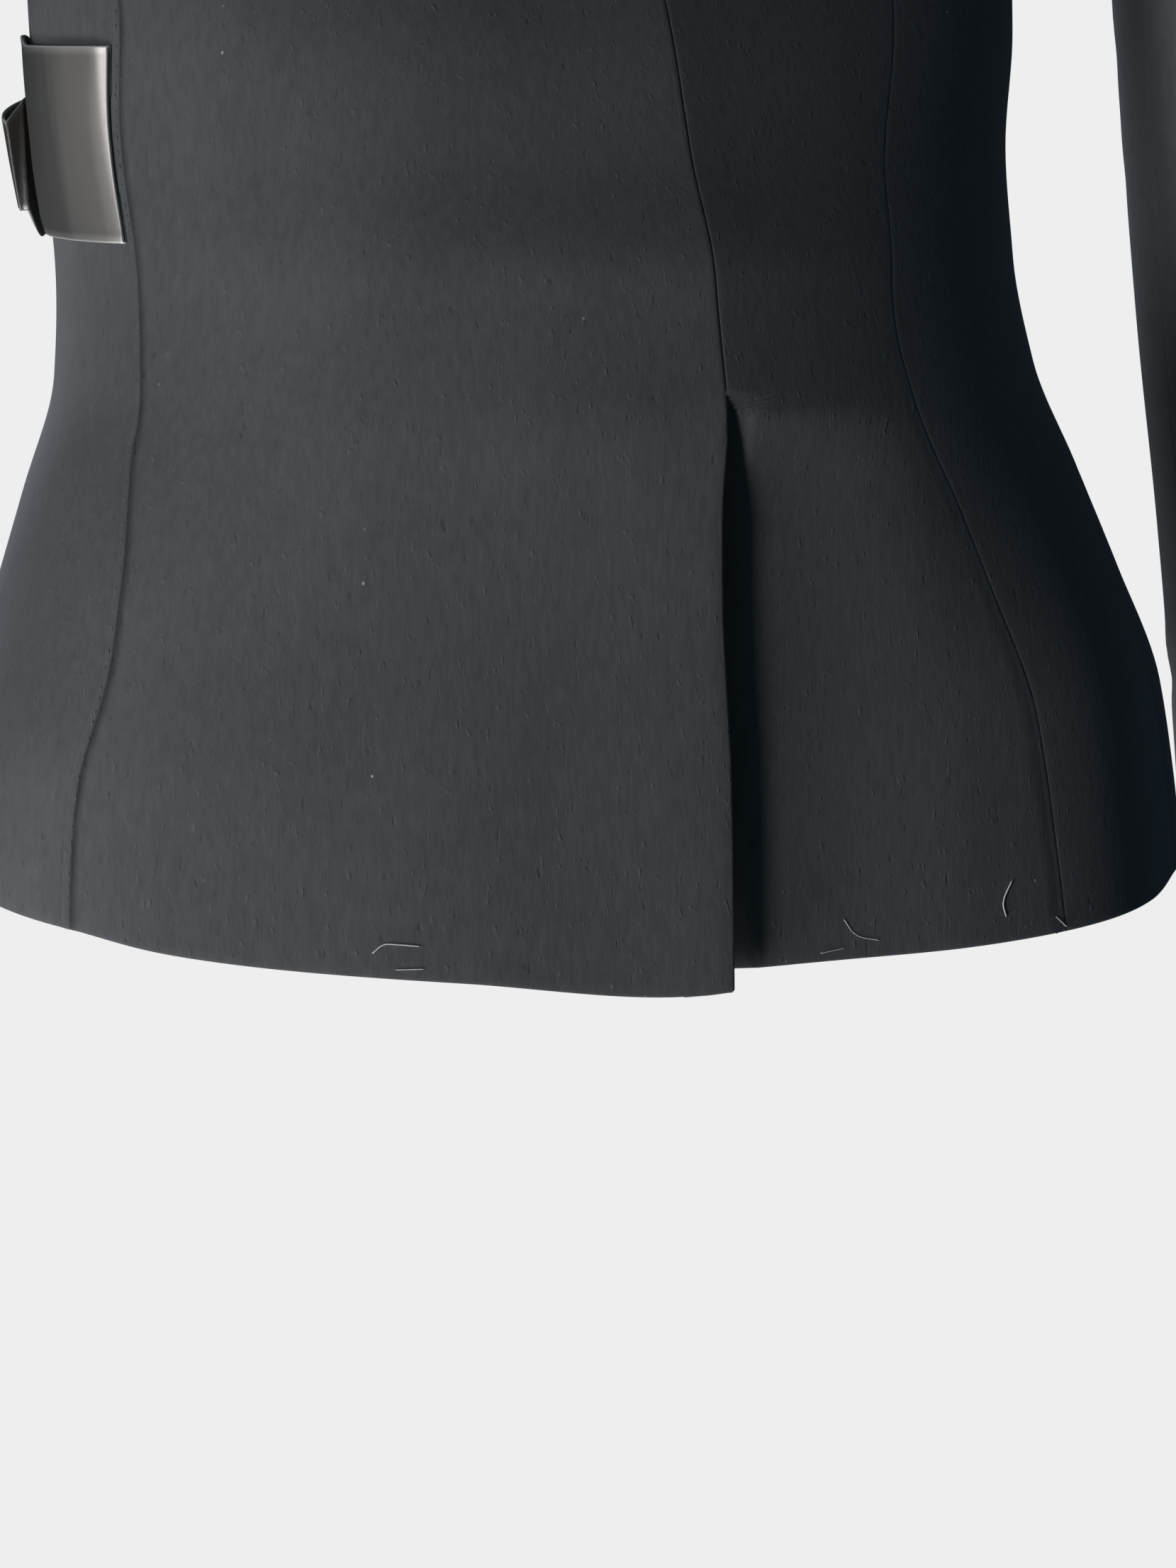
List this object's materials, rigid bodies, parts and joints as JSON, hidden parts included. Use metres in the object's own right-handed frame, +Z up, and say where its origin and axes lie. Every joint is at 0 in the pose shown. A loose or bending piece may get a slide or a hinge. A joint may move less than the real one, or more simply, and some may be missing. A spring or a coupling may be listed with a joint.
{
  "type": "bow-trimmed jacket",
  "caption": "Fitted crepe jacket in worn form, wrapped in front, with a satin tie bowed at the left front waist and a centre back vent.",
  "frame": {"origin": "middle of the neck opening, level with the nape, where the wearer's shoulders hold the jacket", "axes": "+Z up the body, -Y out of the front, +X towards the wearer's left"},
  "size_m": [0.6434, 0.2506, 0.6084],
  "materials": {
    "crepe": "matt wool crepe with a fine upright grain",
    "satin": "smooth satin with a soft sheen"
  },
  "bodies": {
    "root": {"back_left": "crepe", "back_right": "crepe", "back_right_side": "crepe", "front_left": "crepe", "front_right": "crepe", "sleeve_left": "crepe", "sleeve_right": "crepe", "tie_side": "satin", "tie_front": "satin", "bow_knot": "satin", "bow_loop_back": "satin", "bow_loop_front": "satin", "bow_tail_under": "satin", "bow_tail_over": "satin"}
  },
  "joints": []
}
